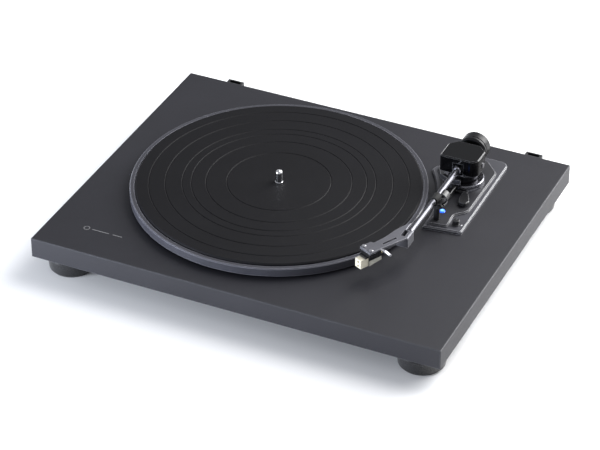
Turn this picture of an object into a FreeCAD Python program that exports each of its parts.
import FreeCAD, Part
import math
import os
import Sketcher

# Belt-drive record player with sockets for a dust cover, a manual tonearm and a cueing lever.
# Frame: +Z up, it stands on Z = 0, +Y points to its back, and the origin is under the middle of
# its outer box. All lengths are millimetres.

DOC = FreeCAD.newDocument("RecordPlayer")
SHEET = DOC.addObject("Spreadsheet::Sheet", "Dims")
PIECES = []


# ---------------------------------------------------------------- driving dimensions

class Size:
    """A length that carries both its value and the spreadsheet expression that gives it."""

    def __init__(self, value, text):
        self.value = float(value)
        self.text = text

    def __add__(self, other):
        return Size(self.value + number(other), f"({self.text} + {written(other)})")

    def __radd__(self, other):
        return Size(number(other) + self.value, f"({written(other)} + {self.text})")

    def __sub__(self, other):
        return Size(self.value - number(other), f"({self.text} - {written(other)})")

    def __rsub__(self, other):
        return Size(number(other) - self.value, f"({written(other)} - {self.text})")

    def __mul__(self, factor):
        return Size(self.value * number(factor), f"({self.text} * {written(factor)})")

    def __truediv__(self, factor):
        return Size(self.value / number(factor), f"({self.text} / {written(factor)})")

    def __neg__(self):
        return Size(-self.value, f"(0 - {self.text})")


def number(length):
    return length.value if isinstance(length, Size) else float(length)


def written(length):
    return length.text if isinstance(length, Size) else f"({float(length):.6f})"


def cell(alias, value):
    """Add one driving dimension to the sheet."""
    row = len(SHEET.getUsedCells()) // 2 + 1
    SHEET.set(f"A{row}", alias)
    SHEET.set(f"B{row}", str(value))
    SHEET.setAlias(f"B{row}", alias)
    return Size(value, f"Dims.{alias}")


PLINTH_WIDTH = cell("plinth_width", 420)
PLINTH_DEPTH = cell("plinth_depth", 335.4)
PLINTH_THICKNESS = cell("plinth_thickness", 21)
FOOT_HEIGHT = cell("foot_height", 19)
FOOT_RADIUS = cell("foot_radius", 23.6)
FOOT_INSET_X = cell("foot_inset_x", 28.5)
FOOT_INSET_Y = cell("foot_inset_y", 27)
HINGE_DEPTH = cell("hinge_depth", 7)
HINGE_LEFT_X = cell("hinge_left_x", -160)
HINGE_RIGHT_X = cell("hinge_right_x", 170)
PLATTER_X = cell("platter_x", -30)
PLATTER_Y = cell("platter_y", -0.7)
PLATTER_RADIUS = cell("platter_radius", 145)
PLATTER_GAP = cell("platter_gap", 2.4)
PLATTER_WALL = cell("platter_wall", 8.8)
MAT_RADIUS = cell("mat_radius", 139.5)
MAT_THICKNESS = cell("mat_thickness", 2.5)
MAT_RISE = cell("mat_rise", 13)
SPINDLE_RADIUS = cell("spindle_radius", 3.575)
SPINDLE_RISE = cell("spindle_rise", 13)
RING_RADIUS = cell("drive_ring_radius", 82)
PULLEY_RADIUS = cell("pulley_radius", 8.2)
PULLEY_REACH = cell("pulley_reach", 112)
ARM_X = cell("arm_pivot_x", 128)
ARM_Y = cell("arm_pivot_y", 85.5)
ARM_RISE = cell("arm_rise", 29)
TUBE_RADIUS = cell("tube_radius", 3)
TUBE_LENGTH = cell("tube_length", 135.5)
SHELL_FRONT_X = cell("headshell_front_x", 102.9)
SHELL_FRONT_Y = cell("headshell_front_y", -96.9)
SHELL_WIDTH = cell("headshell_width", 15.4)
PLATE_THICKNESS = cell("arm_plate_thickness", 3.5)
PLATEAU_THICKNESS = cell("plateau_thickness", 2.5)
TURRET_RADIUS = cell("turret_radius", 20)
HOOD_WIDTH = cell("hood_width", 38.4)
HOOD_LENGTH = cell("hood_length", 31.4)
HOOD_HEIGHT = cell("hood_height", 17.5)
WEIGHT_RADIUS = cell("counterweight_radius", 14.4)
WEIGHT_LENGTH = cell("counterweight_length", 16)

OFFSET_ANGLE = 26.5
CLIP_OPEN_ANGLE = 62.0
RUNNING_GAP = 0.05
MAT_RINGS = (126.5, 110.5, 94.0, 85.2, 71.0, 50.7)

BOARD_Y = -HINGE_DEPTH / 2
FRONT_Y = BOARD_Y - PLINTH_DEPTH / 2
REAR_Y = BOARD_Y + PLINTH_DEPTH / 2
DECK_Z = FOOT_HEIGHT + PLINTH_THICKNESS
RIM_BOTTOM_Z = DECK_Z + PLATTER_GAP
RIM_TOP_Z = RIM_BOTTOM_Z + PLATTER_WALL
MAT_Z = DECK_Z + MAT_RISE
PLATE_Z = DECK_Z + PLATE_THICKNESS
PLATEAU_Z = PLATE_Z + PLATEAU_THICKNESS
ARM_Z = DECK_Z + ARM_RISE
BELT_BEARING = math.radians(135)
MOTOR_X = PLATTER_X + PULLEY_REACH * math.cos(BELT_BEARING)
MOTOR_Y = PLATTER_Y + PULLEY_REACH * math.sin(BELT_BEARING)


# ---------------------------------------------------------------- modelling helpers

def drive(item, prop, length):
    """Set a property, and bind it to the sheet when the length comes from there."""
    setattr(item, prop, number(length))
    if isinstance(length, Size):
        item.setExpression(prop, length.text)


def place(item, x, y, z, rotation=None):
    item.Placement = FreeCAD.Placement(
        FreeCAD.Vector(number(x), number(y), number(z)), rotation or FreeCAD.Rotation())
    for letter, length in (("x", x), ("y", y), ("z", z)):
        if isinstance(length, Size):
            item.setExpression(f"Placement.Base.{letter}", length.text)
    return item


def along(axis):
    """The turn that brings a shape built along +Z onto the named axis."""
    turns = {"X": ((0, 1, 0), 90), "Y": ((1, 0, 0), -90), "Z": ((0, 0, 1), 0)}
    direction, angle = turns[axis]
    return FreeCAD.Rotation(FreeCAD.Vector(*direction), angle)


def box(name, low, high):
    """A block between two corners."""
    item = DOC.addObject("Part::Box", name)
    for prop, near, far in zip(("Length", "Width", "Height"), low, high):
        drive(item, prop, far - near)
    return place(item, *low)


def rod(name, radius, length, start, axis="Z"):
    item = DOC.addObject("Part::Cylinder", name)
    drive(item, "Radius", radius)
    drive(item, "Height", length)
    return place(item, *start, along(axis))


def sketch_on(body, role):
    plane = next(item for item in body.Origin.OriginFeatures if item.Role == role)
    sketch = body.newObject("Sketcher::SketchObject", body.Name + "_sketch")
    sketch.AttachmentSupport = [(plane, "")]
    sketch.MapMode = "FlatFace"
    return sketch


def arc_middle(start, end, radius, bend):
    chord = end - start
    half = chord.Length / 2
    rise = number(radius) - math.sqrt(number(radius) ** 2 - half ** 2)
    right = FreeCAD.Vector(chord.y, -chord.x, 0).normalize()
    return (start + end) / 2 + right * (rise * bend)


def draw_outline(sketch, points, arcs=None):
    """Closed outline. arcs maps a side's index to (radius, 1 for a left or -1 for a right bend)."""
    arcs = arcs or {}
    spots = [FreeCAD.Vector(number(across), number(up), 0) for across, up in points]
    count = len(spots)
    for index, spot in enumerate(spots):
        following = spots[(index + 1) % count]
        if index in arcs:
            middle = arc_middle(spot, following, *arcs[index])
            ends = (spot, following) if arcs[index][1] > 0 else (following, spot)
            sketch.addGeometry(Part.Arc(ends[0], middle, ends[1]), False)
        else:
            sketch.addGeometry(Part.LineSegment(spot, following), False)
    ends = [(2, 1) if index in arcs and arcs[index][1] < 0 else (1, 2) for index in range(count)]
    for index in range(count):
        after = (index + 1) % count
        sketch.addConstraint(
            Sketcher.Constraint("Coincident", index, ends[index][1], after, ends[after][0]))
    for index, (across, up) in enumerate(points):
        for kind, length in (("DistanceX", across), ("DistanceY", up)):
            row = sketch.addConstraint(
                Sketcher.Constraint(kind, -1, 1, index, ends[index][0], number(length)))
            if isinstance(length, Size):
                sketch.setExpression(f"Constraints[{row}]", length.text)
    for index, (radius, _) in arcs.items():
        row = sketch.addConstraint(Sketcher.Constraint("Radius", index, number(radius)))
        if isinstance(radius, Size):
            sketch.setExpression(f"Constraints[{row}]", radius.text)


def turned(name, profile, centre, axis="Z", arcs=None):
    """A body of revolution. The profile is (radius, distance along the axis) points."""
    body = DOC.addObject("PartDesign::Body", name)
    sketch = sketch_on(body, "XZ_Plane")
    draw_outline(sketch, profile, arcs)
    turn = body.newObject("PartDesign::Revolution", name + "_turn")
    turn.Profile = sketch
    turn.ReferenceAxis = (sketch, ["V_Axis"])
    turn.Angle = 360
    return place(body, *centre, along(axis))


def extruded(name, outline, height, start=(0, 0, 0), arcs=None, rounds=(), rotation=None, edge=0):
    """A padded outline. rounds holds (corner index, radius); edge softens the top outline."""
    body = DOC.addObject("PartDesign::Body", name)
    sketch = sketch_on(body, "XY_Plane")
    draw_outline(sketch, outline, arcs)
    pad = body.newObject("PartDesign::Pad", name + "_pad")
    pad.Profile = sketch
    drive(pad, "Length", height)
    DOC.recompute()
    for index, radius in rounds:
        corner = FreeCAD.Vector(number(outline[index][0]), number(outline[index][1]), 0)
        dress(body, "Fillet", f"{name}_round{index}", upright_edges(body.Shape, corner)).Radius = radius
        DOC.recompute()
    if edge:
        dress(body, "Chamfer", name + "_edge", [top_face(body.Shape)]).Size = edge
        DOC.recompute()
    return place(body, *start, rotation)


def dress(body, kind, name, targets):
    """Add a fillet or chamfer to the named edges or face of a body."""
    before = body.Tip
    feature = body.newObject("PartDesign::" + kind, name)
    feature.Base = (before, targets)
    body.Tip = feature
    return feature


def upright_edges(shape, corner):
    """Names of the straight vertical edges that stand on one corner of an outline."""
    names = []
    for index, side in enumerate(shape.Edges, 1):
        ends = [vertex.Point for vertex in side.Vertexes]
        near = [math.hypot(end.x - corner.x, end.y - corner.y) < 0.05 for end in ends]
        if len(ends) == 2 and all(near):
            names.append(f"Edge{index}")
    return names


def top_face(shape):
    highest = max(range(len(shape.Faces)), key=lambda index: shape.Faces[index].BoundBox.ZMin)
    return f"Face{highest + 1}"


def cut(name, base, *tools):
    """Base less every tool."""
    item = DOC.addObject("Part::Cut", name)
    item.Base = base
    item.Tool = tools[0] if len(tools) == 1 else fused(name + "_tools", *tools)
    return item


def fused(name, *parts):
    item = DOC.addObject("Part::MultiFuse", name)
    item.Shapes = list(parts)
    return item


def together(name, parts):
    """Separate solids that share one node."""
    item = DOC.addObject("Part::Compound", name)
    item.Links = list(parts)
    return item


def bevelled(name, base, size, chosen=None):
    """Chamfer the edges that chosen accepts, or all of them."""
    DOC.recompute()
    item = DOC.addObject("Part::Chamfer", name)
    item.Base = base
    wanted = [index for index, side in enumerate(base.Shape.Edges, 1) if not chosen or chosen(side)]
    item.Edges = [(index, size, size) for index in wanted]
    return item


def piece(label, item):
    """Register a finished sub-part under the name of its node."""
    item.Label = label
    PIECES.append(item)
    return item


def corners(half_x, half_y, centre_x=0, centre_y=0):
    """The four named corners of a rectangle."""
    return [("front_left", centre_x - half_x, centre_y - half_y),
            ("front_right", centre_x + half_x, centre_y - half_y),
            ("rear_left", centre_x - half_x, centre_y + half_y),
            ("rear_right", centre_x + half_x, centre_y + half_y)]


# ---------------------------------------------------------------- plinth and feet

FOOT_SPOTS = corners(PLINTH_WIDTH / 2 - FOOT_INSET_X, PLINTH_DEPTH / 2 - FOOT_INSET_Y, 0, BOARD_Y)
HINGES = (("left", HINGE_LEFT_X), ("right", HINGE_RIGHT_X))
HINGE_TAB = 11.0
HINGE_SCREW_Z = DECK_Z - 10.5
COVER_LOW = (44.0, 98.0)
COVER_HIGH = (146.0, 162.0)
COVER_SCREWS = corners(47.5, 28.5, 95, 130)
GROMMET_REACH = 31.0
GROMMETS = [(MOTOR_X + GROMMET_REACH * math.cos(math.radians(turn)),
             MOTOR_Y + GROMMET_REACH * math.sin(math.radians(turn))) for turn in (90, 210, 330)]
KNOB_X, KNOB_Y = 148.6, 15.2
PLATE_SCREW = (153.7, 16.1)
LED_X, LED_Y = 129.4, 27.3


def plinth_board():
    half = PLINTH_WIDTH / 2
    block = box("plinth_block", (-half, FRONT_Y, FOOT_HEIGHT), (half, REAR_Y, DECK_Z))
    slab = bevelled("plinth_slab", block, 0.6)
    tools = [rod("bearing_bore", 8.2, 30, (PLATTER_X, PLATTER_Y, FOOT_HEIGHT - 4)),
             rod("motor_well", 27, 30, (MOTOR_X, MOTOR_Y, FOOT_HEIGHT - 4)),
             rod("column_bore", 8.2, 30, (ARM_X, ARM_Y, FOOT_HEIGHT - 4)),
             rod("nut_recess", 14, 8, (ARM_X, ARM_Y, FOOT_HEIGHT - 1)),
             rod("knob_bore", 1.7, 12, (KNOB_X, KNOB_Y, DECK_Z - 8)),
             rod("plate_screw_bore", 1.05, 12, (*PLATE_SCREW, DECK_Z - 4)),
             box("electronics_bay", (52, 104, FOOT_HEIGHT - 1), (138, REAR_Y + 1, DECK_Z - 6))]
    for index, (x, y) in enumerate(GROMMETS):
        tools.append(rod(f"grommet_seat{index}", 3.55, 6, (x, y, DECK_Z - 4)))
    for corner, x, y in FOOT_SPOTS:
        tools.append(rod(f"foot_bore_{corner}", 3.1, 17, (x, y, FOOT_HEIGHT - 1)))
    for corner, x, y in COVER_SCREWS:
        tools.append(rod(f"cover_bore_{corner}", 1.25, 11, (x, y, FOOT_HEIGHT - 1)))
    for side, x in HINGES:
        for tab in (-HINGE_TAB, HINGE_TAB):
            start = (x + tab, REAR_Y - 11, HINGE_SCREW_Z)
            tools.append(rod(f"hinge_bore_{side}", 1.25, 12, start, "Y"))
    piece("plinth_board", cut("plinth_board", slab, *tools))


def feet():
    profile = [(6.5, 1.5), (FOOT_RADIUS - 2.2, 1.5), (FOOT_RADIUS - 1.3, 2.4), (FOOT_RADIUS, 15.0),
               (FOOT_RADIUS - 1.2, 16.6), (15, 16.6), (15, FOOT_HEIGHT), (3.1, FOOT_HEIGHT),
               (3.1, 7), (6.5, 7)]
    pad = [(0, 0), (FOOT_RADIUS - 3.4, 0), (FOOT_RADIUS - 2.9, 0.5), (FOOT_RADIUS - 2.9, 1.5), (0, 1.5)]
    bolts = []
    pads = []
    for corner, x, y in FOOT_SPOTS:
        piece(f"foot_{corner}", turned(f"foot_{corner}", profile, (x, y, 0)))
        pads.append(turned(f"foot_pad_{corner}", pad, (x, y, 0)))
        bolt = [(0, 3), (6, 3), (6, 6.9), (3, 6.9), (3, 34), (0, 34)]
        bolts.append(turned(f"foot_bolt_{corner}", bolt, (x, y, 0)))
    piece("foot_pads", together("foot_pads", pads))
    piece("foot_bolts", together("foot_bolts", bolts))


def hinge_sockets():
    screws = []
    for side, x in HINGES:
        top = DECK_Z - 1
        bottom = DECK_Z - 20
        body = fused(
            f"hinge_shell_{side}",
            box(f"hinge_body_{side}", (x - 8.5, REAR_Y, bottom), (x + 8.5, REAR_Y + HINGE_DEPTH, top)),
            box(f"hinge_wings_{side}", (x - 14, REAR_Y, bottom), (x + 14, REAR_Y + 2, top - 3)))
        slot = box(f"hinge_slot_{side}", (x - 6.2, REAR_Y + 1.3, top - 15), (x + 6.2, REAR_Y + 5.6, top + 1))
        tools = [slot]
        for tab in (-HINGE_TAB, HINGE_TAB):
            tools.append(rod(f"hinge_hole_{side}", 1.25, 4, (x + tab, REAR_Y - 1, HINGE_SCREW_Z), "Y"))
            shank = rod(f"hinge_shank_{side}", 1.2, 12.2, (x + tab, REAR_Y - 10, HINGE_SCREW_Z), "Y")
            head = rod(f"hinge_head_{side}", 1.9, 1.2, (x + tab, REAR_Y + 2, HINGE_SCREW_Z), "Y")
            screws.append(fused(f"hinge_screw_{side}", shank, head))
        piece(f"hinge_socket_{side}", cut(f"hinge_socket_{side}", body, *tools))
    piece("hinge_screws", together("hinge_screws", screws))


def bottom_cover():
    under = FOOT_HEIGHT - 2
    sheet = box("cover_sheet", (*COVER_LOW, under), (*COVER_HIGH, FOOT_HEIGHT))
    holes = [rod(f"cover_hole_{corner}", 1.3, 4, (x, y, under - 1)) for corner, x, y in COVER_SCREWS]
    piece("bottom_cover", cut("bottom_cover", sheet, *holes))
    profile = [(0, -1.2), (2.8, -1.2), (2.8, 0), (1.2, 0), (1.2, 10), (0, 10)]
    screws = [turned(f"cover_screw_{corner}", profile, (x, y, under)) for corner, x, y in COVER_SCREWS]
    piece("bottom_cover_screws", together("bottom_cover_screws", screws))


# ---------------------------------------------------------------- platter, bearing and drive

def platter():
    deck_top = MAT_Z - MAT_THICKNESS
    under = deck_top - 3
    profile = [(6.05, under - 1), (12, under - 1), (12, under), (RING_RADIUS - 4, under),
               (RING_RADIUS - 4, RIM_BOTTOM_Z + 0.4), (RING_RADIUS, RIM_BOTTOM_Z + 0.4),
               (RING_RADIUS, under), (PLATTER_RADIUS - 5, under), (PLATTER_RADIUS - 5, RIM_BOTTOM_Z),
               (PLATTER_RADIUS - 0.6, RIM_BOTTOM_Z), (PLATTER_RADIUS, RIM_BOTTOM_Z + 0.6),
               (PLATTER_RADIUS, RIM_TOP_Z - 0.8), (PLATTER_RADIUS - 0.8, RIM_TOP_Z),
               (MAT_RADIUS + 1.3, RIM_TOP_Z), (MAT_RADIUS + 0.9, deck_top), (6.05, deck_top)]
    piece("platter", turned("platter", profile, (PLATTER_X, PLATTER_Y, 0)))
    mat = [(SPINDLE_RADIUS + 0.9, deck_top), (MAT_RADIUS, deck_top), (MAT_RADIUS, MAT_Z - 1.2),
           (MAT_RADIUS - 1.2, MAT_Z)]
    for ring in MAT_RINGS:
        mat += [(ring + 0.7, MAT_Z), (ring, MAT_Z - 0.45), (ring - 0.7, MAT_Z)]
    mat.append((SPINDLE_RADIUS + 0.9, MAT_Z))
    piece("platter_mat", turned("platter_mat", mat, (PLATTER_X, PLATTER_Y, 0)))
    dome = MAT_Z + SPINDLE_RISE - SPINDLE_RADIUS
    peak = dome + SPINDLE_RADIUS
    shaft = [(0, FOOT_HEIGHT + 7.05), (4, FOOT_HEIGHT + 7.05), (4, under - 2.6), (10, under - 2.6),
             (10, under - 1), (6, under - 1), (6, deck_top), (SPINDLE_RADIUS + 0.5, deck_top),
             (SPINDLE_RADIUS + 0.5, MAT_Z + 0.1), (SPINDLE_RADIUS, MAT_Z + 0.1),
             (SPINDLE_RADIUS, dome), (0, peak)]
    arcs = {10: (SPINDLE_RADIUS, 1)}
    piece("platter_spindle", turned("platter_spindle", shaft, (PLATTER_X, PLATTER_Y, 0), arcs=arcs))


def bearing():
    floor = FOOT_HEIGHT + 3
    profile = [(0, FOOT_HEIGHT + 1), (8, FOOT_HEIGHT + 1), (8, DECK_Z), (14, DECK_Z), (14, DECK_Z + 2.2),
               (4 + RUNNING_GAP, DECK_Z + 2.2), (4 + RUNNING_GAP, floor), (0, floor)]
    piece("bearing_housing", turned("bearing_housing", profile, (PLATTER_X, PLATTER_Y, 0)))
    ball = DOC.addObject("Part::Sphere", "thrust_ball")
    ball.Radius = 2
    piece("thrust_ball", place(ball, PLATTER_X, PLATTER_Y, floor + 2))


def motor():
    top = DECK_Z + 0.4
    can = [(1.5 + RUNNING_GAP, FOOT_HEIGHT + 2), (23.5, FOOT_HEIGHT + 2), (25, FOOT_HEIGHT + 3.5),
           (25, top), (1.5 + RUNNING_GAP, top)]
    piece("motor_body", turned("motor_body", can, (MOTOR_X, MOTOR_Y, 0)))
    ring = [(9.2, top), (36, top), (36, top + 1.2), (9.2, top + 1.2)]
    piece("motor_bracket", turned("motor_bracket", ring, (MOTOR_X, MOTOR_Y, 0)))
    grommets = [rod(f"grommet{index}", 3.5, 4.4, (x, y, DECK_Z - 4))
                for index, (x, y) in enumerate(GROMMETS)]
    piece("motor_grommets", together("motor_grommets", grommets))
    low = RIM_BOTTOM_Z + 0.2
    wheel = [(1.5, low), (PULLEY_RADIUS + 0.8, low), (PULLEY_RADIUS + 0.8, low + 0.5),
             (PULLEY_RADIUS, low + 0.6), (PULLEY_RADIUS, low + 4), (PULLEY_RADIUS + 0.6, low + 4.1),
             (PULLEY_RADIUS + 0.6, low + 4.5), (1.5, low + 4.5)]
    rim = turned("pulley_rim", wheel, (MOTOR_X, MOTOR_Y, 0))
    shaft = rod("motor_shaft", 1.5, low + 4.2 - (FOOT_HEIGHT + 4), (MOTOR_X, MOTOR_Y, FOOT_HEIGHT + 4))
    piece("motor_pulley", fused("motor_pulley", rim, shaft))


def belt_face(spread):
    """The area inside a loop that wraps the drive ring and the pulley, grown by spread."""
    large = number(RING_RADIUS) + spread
    small = number(PULLEY_RADIUS) + spread
    reach = number(PULLEY_REACH)
    lean = math.acos((large - small) / reach)
    start = FreeCAD.Vector(number(PLATTER_X), number(PLATTER_Y), 0)
    end = FreeCAD.Vector(number(MOTOR_X), number(MOTOR_Y), 0)

    def spot(centre, radius, angle):
        return centre + FreeCAD.Vector(radius * math.cos(angle), radius * math.sin(angle), 0)

    left = BELT_BEARING + lean
    right = BELT_BEARING - lean
    wire = Part.Wire([
        Part.LineSegment(spot(start, large, right), spot(end, small, right)).toShape(),
        Part.Arc(spot(end, small, right), spot(end, small, BELT_BEARING), spot(end, small, left)).toShape(),
        Part.LineSegment(spot(end, small, left), spot(start, large, left)).toShape(),
        Part.Arc(spot(start, large, left), spot(start, large, BELT_BEARING + math.pi),
                 spot(start, large, right)).toShape()])
    return Part.Face(wire)


def drive_belt():
    clearance = 0.1
    thickness = 0.6
    width = 3.2
    band = belt_face(clearance + thickness).cut(belt_face(clearance))
    item = DOC.addObject("Part::Feature", "drive_belt")
    item.Shape = band.extrude(FreeCAD.Vector(0, 0, width))
    piece("drive_belt", place(item, 0, 0, RIM_BOTTOM_Z + 0.9))


# ---------------------------------------------------------------- arm base and its fittings

def arm_base():
    outline = [(120, 0.1), (158, 5.2), (156.2, 137.5), (122, 137.5), (89, 98)]
    plate = extruded("arm_plate_blank", outline, PLATE_THICKNESS, (0, 0, DECK_Z),
                     arcs={4: (152, -1)}, rounds=((1, 2.4), (2, 9), (3, 12), (4, 7)), edge=1.2)
    tools = [rod("plate_column", 8.2, 8, (ARM_X, ARM_Y, DECK_Z - 2)),
             rod("plate_knob", 1.7, 8, (KNOB_X, KNOB_Y, DECK_Z - 2)),
             rod("plate_led", 1.6, 8, (LED_X, LED_Y, DECK_Z - 2)),
             rod("plate_screw_hole", 1.1, 8, (*PLATE_SCREW, DECK_Z - 2))]
    piece("arm_base_plate", cut("arm_base_plate", plate, *tools))
    inner = [(123.2, 3.6), (143.4, 6.2), (141.6, 26.5), (152.6, 37.5), (152.6, 112), (137, 128.5),
             (123.5, 131.5), (94.5, 98.5)]
    plateau = extruded("plateau_blank", inner, PLATEAU_THICKNESS, (0, 0, PLATE_Z),
                       arcs={7: (156, -1)},
                       rounds=((1, 2.6), (2, 8), (3, 12), (4, 10), (5, 8), (6, 8), (7, 6)), edge=1.3)
    tools = [rod("plateau_column", 8.2, 8, (ARM_X, ARM_Y, PLATE_Z - 2)),
             rod("plateau_led", 1.6, 8, (LED_X, LED_Y, PLATE_Z - 2))]
    piece("arm_base_plateau", cut("arm_base_plateau", plateau, *tools))
    profile = [(0, -6), (1, -6), (1, 0), (1.4, 0), (1.4, 0.4), (0, 0.7)]
    piece("plate_screw", turned("plate_screw", profile, (*PLATE_SCREW, PLATE_Z)))


def turret():
    base = PLATEAU_Z
    bore = 6.2
    profile = [(bore, DECK_Z - 16), (8, DECK_Z - 16), (8, base), (TURRET_RADIUS + 0.9, base),
               (TURRET_RADIUS + 0.4, base + 2), (TURRET_RADIUS, base + 4.9),
               (TURRET_RADIUS - 0.8, base + 5.7), (15.2, base + 5.7), (14.6, base + 4.4), (bore, base + 4.4)]
    piece("arm_turret", turned("arm_turret", profile, (ARM_X, ARM_Y, 0)))
    nut = extruded("turret_nut_blank",
                   [(12.5 * math.cos(math.radians(60 * turn)), 12.5 * math.sin(math.radians(60 * turn)))
                    for turn in range(6)], 5.5, (ARM_X, ARM_Y, DECK_Z - 20.2))
    piece("turret_nut", cut("turret_nut", nut, rod("nut_thread", 8.05, 9, (ARM_X, ARM_Y, DECK_Z - 22))))


CLIP_HINGE_OUT = 6.8
CLIP_HINGE_DROP = 3.9


def arm_rest():
    floor_top = ARM_Z - 4.5
    post = rod("rest_post", 3, floor_top - 2 - PLATEAU_Z, (129.5, 13, PLATEAU_Z))
    shelf = box("rest_shelf", (122.5, 6.5, floor_top - 2), (132.2, 19.5, floor_top))
    hinge_x = ARM_X + CLIP_HINGE_OUT
    hinge_z = ARM_Z - CLIP_HINGE_DROP
    lugs = []
    for name, low, high in (("front", 6.5, 8.6), ("rear", 17.4, 19.5)):
        lugs.append(box(f"rest_lug_{name}", (132.0, low, floor_top - 2), (hinge_x, high, hinge_z + 2)))
        lugs.append(rod(f"rest_eye_{name}", 2.6, high - low, (hinge_x, low, hinge_z), "Y"))
    pin = rod("rest_pin", 1.2, 13, (hinge_x, 6.5, hinge_z), "Y")
    piece("arm_rest_post", fused("arm_rest_post", post, shelf, *lugs, pin))


def arm_clip():
    """A hook that closes over the arm tube. It is built closed, then turned back to its open rest."""
    low, width = 9.0, 8.0
    ring = rod("clip_outer", 5.9, width, (ARM_X, low, ARM_Z), "Y")
    ring.Angle = 170
    ring.Placement = FreeCAD.Placement(
        ring.Placement.Base, FreeCAD.Rotation(FreeCAD.Vector(0, 1, 0), -160).multiply(along("Y")))
    hollow = rod("clip_inner", 4.6, width + 2, (ARM_X, low - 1, ARM_Z), "Y")
    hook = cut("clip_hook", ring, hollow)
    hinge_x = ARM_X + CLIP_HINGE_OUT
    hinge_z = ARM_Z - CLIP_HINGE_DROP
    web = box("clip_web", (ARM_X + 4.8, low, hinge_z), (hinge_x + 0.9, low + width, ARM_Z - 0.6))
    knuckle = rod("clip_knuckle", 2.5, width, (hinge_x, low, hinge_z), "Y")
    tab = box("clip_tab", (ARM_X + 5.1, low, ARM_Z - 1.4), (ARM_X + 8.2, low + width, ARM_Z - 0.2))
    solid = fused("clip_solid", hook, web, knuckle, tab)
    bore = rod("clip_bore", 1.2 + RUNNING_GAP, width + 2, (hinge_x, low - 1, hinge_z), "Y")
    clip = cut("arm_clip", solid, bore)
    centre = FreeCAD.Vector(number(hinge_x), 0, number(hinge_z))
    turn = FreeCAD.Rotation(FreeCAD.Vector(0, 1, 0), CLIP_OPEN_ANGLE)
    clip.Placement = FreeCAD.Placement(FreeCAD.Vector(), turn, centre)
    piece("arm_clip", clip)


LIFT_REACH = 24.0
LIFT_PIN_X = 125.0
LEVER_Y = 63.2
LEVER_Z = PLATEAU_Z + 2.2


def lift_pin_y():
    return ARM_Y - math.sqrt(LIFT_REACH ** 2 - (number(ARM_X) - LIFT_PIN_X) ** 2)


def lifter():
    top = PLATEAU_Z + 6
    block = bevelled("lifter_block", box("lifter_box", (115.5, 50, PLATEAU_Z), (128.4, 69, top)), 0.5)
    collar = rod("lifter_collar", TURRET_RADIUS + 1.4, 12, (ARM_X, ARM_Y, PLATEAU_Z - 2))
    pin_hole = rod("lifter_bore", 2 + RUNNING_GAP, 8, (LIFT_PIN_X, lift_pin_y(), LEVER_Z))
    lever_hole = rod("lever_bore", 1.2 + RUNNING_GAP, 14, (119.4, LEVER_Y, LEVER_Z), "X")
    piece("lifter_housing", cut("lifter_housing", block, collar, pin_hole, lever_hole))


def lift_bow():
    """An arc concentric with the arm's upright pivot, with a raised rim under the tube, on a pin."""
    low = ARM_Z - 10.8
    floor = 2.5
    sector = rod("bow_outer", LIFT_REACH + 3, 4.7, (ARM_X, ARM_Y, low))
    sector.Angle = 52
    sector.Placement = FreeCAD.Placement(
        sector.Placement.Base, FreeCAD.Rotation(FreeCAD.Vector(0, 0, 1), -128))
    inner = rod("bow_inner", LIFT_REACH - 3, floor + 2, (ARM_X, ARM_Y, low - 1))
    step = rod("bow_step", LIFT_REACH + 2.1, 4, (ARM_X, ARM_Y, low + floor))
    pin = rod("bow_pin", 2, low - LEVER_Z - 1.0, (LIFT_PIN_X, lift_pin_y(), LEVER_Z + 1.5))
    piece("lift_bow", fused("lift_bow", cut("bow_arc", sector, inner, step), pin))


def cue_lever():
    outline = [(137.3, 60), (143.3, 60), (149, 47.5), (147, 41.5), (140.5, 41.5), (137.6, 48.5)]
    paddle = extruded("lever_paddle", outline, 3, (0, 0, LEVER_Z - 0.4),
                      rounds=((1, 2), (2, 3.5), (3, 3), (4, 3), (5, 3)), edge=0.7)
    stem = box("lever_stem", (137.4, 58, LEVER_Z - 0.9), (140.8, 64.2, LEVER_Z + 1.5))
    eye = rod("lever_eye", 1.9, 3.4, (137.4, LEVER_Y, LEVER_Z), "X")
    shaft = rod("lever_shaft", 1.2, 18.4, (119.8, LEVER_Y, LEVER_Z), "X")
    piece("cue_lever", fused("cue_lever", paddle, stem, eye, shaft))


def speed_knob():
    low = PLATE_Z + 0.1
    top = low + 5.5
    profile = [(0, low - 7), (1.6, low - 7), (1.6, low), (3.7, low), (3.7, low + 0.7), (3.4, low + 1.0),
               (3.4, top - 0.5), (2.9, top), (0, top)]
    base = turned("knob_base", profile, (KNOB_X, KNOB_Y, 0))
    pointer = box("knob_pointer", (KNOB_X - 0.4, KNOB_Y - 0.2, top - 0.5),
                  (KNOB_X + 0.4, KNOB_Y + 2.7, top + 0.35))
    piece("speed_knob", fused("speed_knob", base, pointer))


def power_lamp():
    top = PLATEAU_Z
    profile = [(0, top - 4), (1.5, top - 4), (1.5, top), (2.9, top), (2.9, top + 0.4), (2.0, top + 1.3),
               (0, top + 1.7)]
    piece("power_lamp", turned("power_lamp", profile, (LED_X, LED_Y, 0)))


# ---------------------------------------------------------------- pivot housing

HOOD_BOTTOM = ARM_Z - 5.5
FORK_FLOOR = ARM_Z - 9
HOOD_FRONT = ARM_Y - 17.2
NOSE_Y = ARM_Y - 20.6
FORK_GAP = 11.0
FORK_OUT = 14.5


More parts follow.
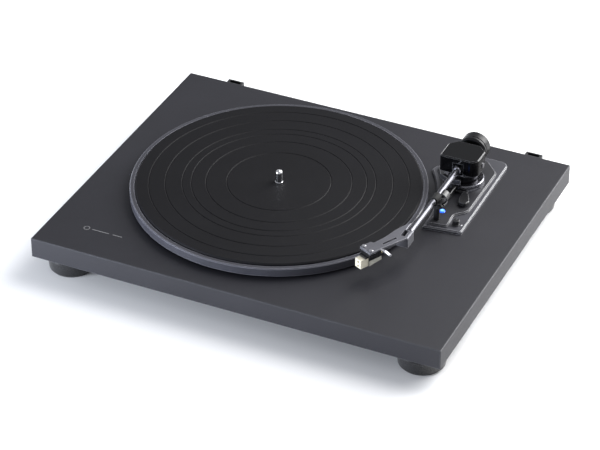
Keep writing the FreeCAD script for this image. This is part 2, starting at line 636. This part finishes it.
def yaw_parts():
    profile = [(0, DECK_Z - 14), (6.15, DECK_Z - 14), (6.15, PLATEAU_Z + 4.7), (13.8, PLATEAU_Z + 4.7),
               (13.8, FORK_FLOOR), (0, FORK_FLOOR)]
    piece("yaw_shaft", turned("yaw_shaft", profile, (ARM_X, ARM_Y, 0)))
    disc = [(0, FORK_FLOOR), (16.0, FORK_FLOOR), (16.6, FORK_FLOOR + 0.6), (16.6, FORK_FLOOR + 1.7),
            (16.2, FORK_FLOOR + 2.1), (0, FORK_FLOOR + 2.1)]
    plate = turned("fork_disc", disc, (ARM_X, ARM_Y, 0))
    ears = []
    for side, low, high in (("left", -FORK_OUT, -FORK_GAP), ("right", FORK_GAP, FORK_OUT)):
        ears.append(box(f"fork_ear_{side}", (ARM_X + low, ARM_Y - 5, FORK_FLOOR + 2),
                        (ARM_X + high, ARM_Y + 5, ARM_Z + 9)))
    fork = fused("fork_blank", plate, *ears)
    holes = rod("fork_holes", 1.45, 40, (ARM_X - 20, ARM_Y, ARM_Z), "X")
    piece("gimbal_fork", cut("gimbal_fork", fork, holes))
    pins = []
    for side, start in (("left", -19.0), ("right", 7.0)):
        pins.append(rod(f"pivot_pin_{side}", 1.45, 12, (ARM_X + start, ARM_Y, ARM_Z), "X"))
    head = rod("pivot_head", 2.6, 0.7, (ARM_X + HOOD_WIDTH / 2, ARM_Y, ARM_Z), "X")
    neck = rod("pivot_neck", 1.45, 0.8, (ARM_X + 18.8, ARM_Y, ARM_Z), "X")
    screws = [pins[0], fused("pivot_screw_right", pins[1], neck, head)]
    piece("pivot_screws", together("pivot_screws", screws))


def hood_outline(inset):
    """The hood in plan, with its rear corners cut off."""
    half = HOOD_WIDTH / 2 - inset
    front = HOOD_FRONT + inset
    rear = HOOD_FRONT + HOOD_LENGTH - inset
    chamfer = 8 - inset * 0.6
    return [(ARM_X - half, front), (ARM_X + half, front), (ARM_X + half, rear - chamfer),
            (ARM_X + half - chamfer, rear), (ARM_X - half + chamfer, rear), (ARM_X - half, rear - chamfer)]


def arm_hood():
    shell = extruded("hood_outer", hood_outline(0), HOOD_HEIGHT, (0, 0, HOOD_BOTTOM),
                     rounds=((0, 2.5), (1, 8), (2, 2), (3, 2), (4, 2), (5, 2)), edge=1.0)
    hollow = extruded("hood_inner", hood_outline(1.8), HOOD_HEIGHT - 2, (0, 0, HOOD_BOTTOM - 0.001),
                      rounds=((1, 6.2),))
    mouth = box("hood_mouth", (ARM_X - 5.4, HOOD_FRONT - 1, HOOD_BOTTOM - 1),
                (ARM_X + 5.4, HOOD_FRONT + 4, ARM_Z + 6.4))
    rear = HOOD_FRONT + HOOD_LENGTH
    back = box("hood_back", (ARM_X - 5.5, rear - 4, HOOD_BOTTOM - 1), (ARM_X + 5.5, rear + 1, ARM_Z + 5.5))
    side = rod("hood_side", 1.6, 46, (ARM_X - 23, ARM_Y, ARM_Z), "X")
    piece("arm_hood", cut("arm_hood", shell, hollow, mouth, back, side))


# ---------------------------------------------------------------- tonearm

SLEEVE_LOW = 7.5
SLEEVE_LENGTH = 11.0
SHELL_REAR = -50.0
SHELL_Z = ARM_Z - 2
SHELL_TOP = SHELL_Z + 4.7
SHELL_TURN = FreeCAD.Rotation(FreeCAD.Vector(0, 0, 1), -90 - OFFSET_ANGLE)


def arm_tube():
    start = ARM_Y + 0.5 - TUBE_LENGTH
    outer = rod("tube_outer", TUBE_RADIUS, TUBE_LENGTH, (ARM_X, start, ARM_Z), "Y")
    inner = rod("tube_inner", TUBE_RADIUS - 0.6, TUBE_LENGTH + 2, (ARM_X, start - 1, ARM_Z), "Y")
    piece("arm_tube", cut("arm_tube", outer, inner))
    sleeve = [(TUBE_RADIUS + 0.02, 0), (TUBE_RADIUS + 0.7, 0), (TUBE_RADIUS + 0.9, 0.4),
              (TUBE_RADIUS + 0.9, SLEEVE_LENGTH - 0.4), (TUBE_RADIUS + 0.7, SLEEVE_LENGTH),
              (TUBE_RADIUS + 0.02, SLEEVE_LENGTH)]
    piece("tube_sleeve", turned("tube_sleeve", sleeve, (ARM_X, SLEEVE_LOW, ARM_Z), "Y"))


def gimbal_yoke():
    """The block that carries the tube between the pivot points, with a flared nose."""
    block = box("yoke_block", (ARM_X - 8.6, ARM_Y - 9, ARM_Z - 3.9), (ARM_X + 8.6, ARM_Y + 6, ARM_Z + 6.5))
    nose = [(0, 0), (TUBE_RADIUS + 0.7, 0), (TUBE_RADIUS + 1.1, 0.8), (TUBE_RADIUS + 1.3, 6.5),
            (TUBE_RADIUS + 1.9, 12.1), (0, 12.1)]
    flare = turned("yoke_nose", nose, (ARM_X, NOSE_Y, ARM_Z), "Y")
    trim = box("yoke_trim", (ARM_X - 12, ARM_Y - 18, ARM_Z - 12), (ARM_X + 12, ARM_Y - 5, ARM_Z - 4.2))
    screw_spot = (ARM_X - 1.0, NOSE_Y + 1.9)
    tools = [trim, rod("yoke_tube_bore", TUBE_RADIUS + 0.02, 24, (ARM_X, ARM_Y - 23, ARM_Z), "Y"),
             rod("yoke_pins", 1.45 + RUNNING_GAP, 20, (ARM_X - 10, ARM_Y, ARM_Z), "X"),
             rod("yoke_screw_bore", 0.95, 6, (*screw_spot, ARM_Z + 3)),
             rod("yoke_stub_bore", 3.52, 9, (ARM_X, ARM_Y + 1, ARM_Z), "Y")]
    piece("gimbal_yoke", cut("gimbal_yoke", fused("yoke_blank", block, flare), *tools))
    piece("yoke_set_screw", rod("yoke_set_screw", 0.93, 1.5, (*screw_spot, ARM_Z + TUBE_RADIUS + 0.05)))


def in_shell(forward, out):
    """Plan position of a spot in the headshell's own frame: forward, and out from the platter."""
    lean = math.radians(OFFSET_ANGLE)
    x = SHELL_FRONT_X - forward * math.sin(lean) + out * math.cos(lean)
    y = SHELL_FRONT_Y - forward * math.cos(lean) - out * math.sin(lean)
    return x, y


def shift_in_shell(item, forward, out, up):
    """Place a shape whose own zero sits at a given spot of the headshell's frame."""
    return place(item, *in_shell(forward, out), SHELL_Z + up, SHELL_TURN)


def shell_block(name, low, high):
    """A block given in the headshell's frame."""
    item = box(name, (0, 0, 0), tuple(far - near for near, far in zip(low, high)))
    return shift_in_shell(item, *low)


def shell_side(name, profile, low, high):
    """A side profile of (forward, up) points, reaching across the headshell from low to high."""
    body = extruded(name, profile, high - low)
    stand = SHELL_TURN.multiply(FreeCAD.Rotation(FreeCAD.Vector(1, 0, 0), 90))
    return place(body, *in_shell(0, high), SHELL_Z, stand)


def headshell():
    half = SHELL_WIDTH / 2
    block_front = -63.6
    outline = [in_shell(0, -half), in_shell(0, half), in_shell(-16.5, half), (130.0, block_front),
               (ARM_X + 3.9, SHELL_REAR), (ARM_X - 3.4, SHELL_REAR), (ARM_X - 3.4, -38), (119.5, -45),
               (115.2, -55.5), (111.2, -69.7), in_shell(-13.9, -4.2), in_shell(-13, -half + 0.7)]
    plate = extruded("shell_plate", outline, 2, (0, 0, SHELL_TOP - 2),
                     rounds=((0, 1), (1, 1), (3, 2)), edge=0.4)
    block = box("shell_block", (ARM_X - 8, block_front, SHELL_Z - 6),
                (ARM_X + 3.9, SHELL_REAR, SHELL_TOP - 0.5))
    spigot = rod("shell_spigot", TUBE_RADIUS - 0.65, 10.5, (ARM_X, SHELL_REAR - 0.5, ARM_Z), "Y")
    rib = rod("shell_rib", 2.2, 12.4, (ARM_X + 1.7, SHELL_REAR - 12.8, SHELL_Z + 2.7), "Y")
    blank = fused("shell_blank", plate, block, spigot, rib)
    slot = shell_block("shell_slot", (-35.5, 1.9, 0), (-18.8, 4.3, 8))
    window = box("shell_window", (ARM_X - 4.6, -61.5, SHELL_Z - 1), (ARM_X - 0.4, -51.2, SHELL_TOP + 1))
    holes = [shift_in_shell(rod(f"shell_hole{index}", 1.05, 12, (0, 0, 0)), -3, out, -2)
             for index, out in enumerate((-5.1, 5.1))]
    piece("headshell", cut("headshell", blank, slot, window, *holes))


def cartridge():
    top = 2.7
    outline = [(-16, -6.5), (-1.5, -6.5), (-1.5, -2.3), (3, -2.3), (3, -0.5), (0.2, -0.2), (0.2, top),
               (-16, top)]
    side = shell_side("cartridge_side", outline, -4.6, 4.6)
    flange = shell_block("cartridge_flange", (-9, -7.2, -0.2), (0.4, 7.2, top))
    holes = [shift_in_shell(rod(f"cartridge_hole{index}", 1.05, 8, (0, 0, 0)), -3, out, -3)
             for index, out in enumerate((-5.1, 5.1))]
    piece("cartridge_body", cut("cartridge_body", fused("cartridge_blank", side, flange), *holes))
    blank = shell_block("stylus_block_blank", (-1.4, -4.1, -11.8), (8.3, 4.1, -2.4))
    block = bevelled("stylus_soft", blank, 0.4)
    windows = []
    for index, height in enumerate((-5.0, -9.4)):
        window = rod(f"stylus_window{index}", 1.2, 4, (0, 0, 0))
        shift_in_shell(window, 5.5, 0.3, height)
        window.Placement = FreeCAD.Placement(
            window.Placement.Base, SHELL_TURN.multiply(FreeCAD.Rotation(FreeCAD.Vector(0, 1, 0), 90)))
        windows.append(window)
    piece("stylus_block", cut("stylus_block", block, *windows))
    wedge = shell_side("stylus_wedge", [(-1.5, -11.7), (-1.5, -6.6), (-16, -6.6), (-16, -9.8)], -5, 5)
    piece("stylus_wedge", wedge)
    tip = [(0, -0.6), (0.35, 0), (0, 0)]
    diamond = turned("stylus_point", tip, (0, 0, 0))
    shift_in_shell(diamond, 6.4, 0, -11.8)
    beam = shell_block("stylus_beam", (1.6, -0.35, -12.1), (6.9, 0.35, -11.8))
    piece("stylus", fused("stylus", diamond, beam))
    pins = []
    for index, (out, height) in enumerate(((-2.2, -4.6), (2.2, -4.6), (-2.2, -0.6), (2.2, -0.6))):
        pin = rod(f"signal_pin{index}", 0.6, 4, (0, 0, 0))
        shift_in_shell(pin, -20, out, height)
        pin.Placement = FreeCAD.Placement(
            pin.Placement.Base, SHELL_TURN.multiply(FreeCAD.Rotation(FreeCAD.Vector(0, 1, 0), 90)))
        pins.append(pin)
    piece("cartridge_pins", together("cartridge_pins", pins))
    screws = []
    for index, out in enumerate((-5.1, 5.1)):
        profile = [(0, -5.5), (1, -5.5), (1, 0), (2.1, 0), (2.1, 0.9), (1.6, 1.4), (0, 1.5)]
        screw = turned(f"shell_screw{index}", profile, (0, 0, 0))
        screws.append(shift_in_shell(screw, -3, out, 4.7))
    piece("headshell_screws", together("headshell_screws", screws))


def finger_lift():
    profile = [(0, 0), (0, -0.9), (4.5, -1.2), (9.2, -3.2), (11.4, -3.2), (11.4, -2.3), (9.6, -2.3),
               (4.8, -0.2)]
    bar = extruded("finger_lift", profile, 2.6)
    stand = FreeCAD.Rotation(FreeCAD.Vector(0, 0, 1), -OFFSET_ANGLE + 18).multiply(
        FreeCAD.Rotation(FreeCAD.Vector(1, 0, 0), 90))
    piece("finger_lift", place(bar, *in_shell(-13.5, SHELL_WIDTH / 2 - 0.02), SHELL_TOP - 0.3, stand))


def counterweight():
    stub = rod("weight_stub", 3.5, 28, (ARM_X, ARM_Y + 1.5, ARM_Z), "Y")
    piece("weight_stub", stub)
    start = ARM_Y + 19
    inner = 3.5 + RUNNING_GAP
    sleeve = [(inner, 1), (6, 1), (6, WEIGHT_LENGTH - 2), (inner, WEIGHT_LENGTH - 2)]
    piece("weight_sleeve", turned("weight_sleeve", sleeve, (ARM_X, start, ARM_Z), "Y"))
    bore = 6 + RUNNING_GAP
    profile = [(bore, 0), (WEIGHT_RADIUS - 1.5, 0), (WEIGHT_RADIUS, 1.5), (WEIGHT_RADIUS, 3.6),
               (WEIGHT_RADIUS - 0.6, 4), (WEIGHT_RADIUS - 0.6, 4.6), (WEIGHT_RADIUS, 5),
               (WEIGHT_RADIUS, WEIGHT_LENGTH - 3), (WEIGHT_RADIUS - 3, WEIGHT_LENGTH),
               (0, WEIGHT_LENGTH), (0, WEIGHT_LENGTH - 1.5), (bore, WEIGHT_LENGTH - 1.5)]
    piece("counterweight", turned("counterweight", profile, (ARM_X, start, ARM_Z), "Y"))


# ---------------------------------------------------------------- electronics and rear panel

def electronics():
    board = box("board_sheet", (66, 112, FOOT_HEIGHT + 4), (130, 150, FOOT_HEIGHT + 5.6))
    chips = [box("board_chip", (84, 122, FOOT_HEIGHT + 5.5), (94, 132, FOOT_HEIGHT + 7.6)),
             box("board_relay", (104, 118, FOOT_HEIGHT + 5.5), (112, 128, FOOT_HEIGHT + 12)),
             rod("board_cap_a", 3, 8, (76, 128, FOOT_HEIGHT + 5.5)),
             rod("board_cap_b", 3, 8, (76, 140, FOOT_HEIGHT + 5.5))]
    spacers = [rod(f"board_spacer{index}", 2, 4.2, (x, y, FOOT_HEIGHT))
               for index, (_, x, y) in enumerate(corners(28, 15, 98, 131))]
    piece("control_board", fused("control_board", board, *chips, *spacers))


JACK_Z = FOOT_HEIGHT + 8
PANEL_Y = REAR_Y - 2.5
JACKS = (("left", 110.0), ("right", 125.0))
EARTH_X = 96.0
INLET_X = 68.0


def rear_panel():
    sheet = box("panel_sheet", (52.2, PANEL_Y, FOOT_HEIGHT + 0.2), (137.8, PANEL_Y + 2, DECK_Z - 6.2))
    holes = [rod(f"panel_hole_{side}", 3.6, 6, (x, PANEL_Y - 2, JACK_Z), "Y") for side, x in JACKS]
    holes.append(rod("panel_hole_earth", 2.1, 6, (EARTH_X, PANEL_Y - 2, JACK_Z), "Y"))
    holes.append(box("panel_hole_inlet", (INLET_X - 5.1, PANEL_Y - 1, JACK_Z - 5.1),
                     (INLET_X + 5.1, PANEL_Y + 3, JACK_Z + 5.1)))
    piece("connector_panel", cut("connector_panel", sheet, *holes))
    face = PANEL_Y + 2
    jack = [(1.65, -8), (3.5, -8), (3.5, 0), (5.4, 0), (5.4, 1), (4.15, 1), (4.15, 7.4), (1.65, 7.4)]
    jacks = [turned(f"signal_jack_{side}", jack, (x, face, JACK_Z), "Y") for side, x in JACKS]
    piece("signal_jacks", together("signal_jacks", jacks))
    stud = [(0, -6), (2, -6), (2, 0), (4.6, 0), (4.6, 1.6), (2, 1.6), (2, 2.6), (4.4, 2.6), (4.4, 6.6),
            (0, 6.6)]
    piece("earth_terminal", turned("earth_terminal", stud, (EARTH_X, face, JACK_Z), "Y"))
    case = box("inlet_case", (INLET_X - 5, face - 9, JACK_Z - 5), (INLET_X + 5, face + 0.8, JACK_Z + 5))
    lip = box("inlet_lip", (INLET_X - 6.2, face, JACK_Z - 6.2), (INLET_X + 6.2, face + 1, JACK_Z + 6.2))
    well = rod("inlet_well", 3, 9, (INLET_X, face - 7, JACK_Z), "Y")
    piece("power_inlet", cut("power_inlet", fused("inlet_body", case, lip), well))
    piece("inlet_pin", rod("inlet_pin", 0.9, 6.5, (INLET_X, face - 7, JACK_Z), "Y"))


# ---------------------------------------------------------------- build, check and write

def check(item):
    if not item.isValid() or {"Invalid", "Error"} & set(item.State):
        raise RuntimeError(f"{item.Name} failed: {item.State}")


def main():
    plinth_board()
    feet()
    hinge_sockets()
    bottom_cover()
    platter()
    bearing()
    motor()
    drive_belt()
    arm_base()
    turret()
    arm_rest()
    arm_clip()
    lifter()
    lift_bow()
    cue_lever()
    speed_knob()
    power_lamp()
    yaw_parts()
    arm_hood()
    arm_tube()
    gimbal_yoke()
    headshell()
    cartridge()
    finger_lift()
    counterweight()
    electronics()
    rear_panel()
    DOC.recompute()
    for item in DOC.Objects:
        check(item)
    for item in PIECES:
        if item.Shape.isNull() or not item.Shape.isValid() or item.Shape.Volume <= 0:
            raise RuntimeError(f"{item.Label} has no valid solid")
    os.makedirs("parts", exist_ok=True)
    for item in PIECES:
        item.Shape.exportStep(os.path.join("parts", item.Label + ".step"))
    print(len(PIECES), "sub-parts written")


main()
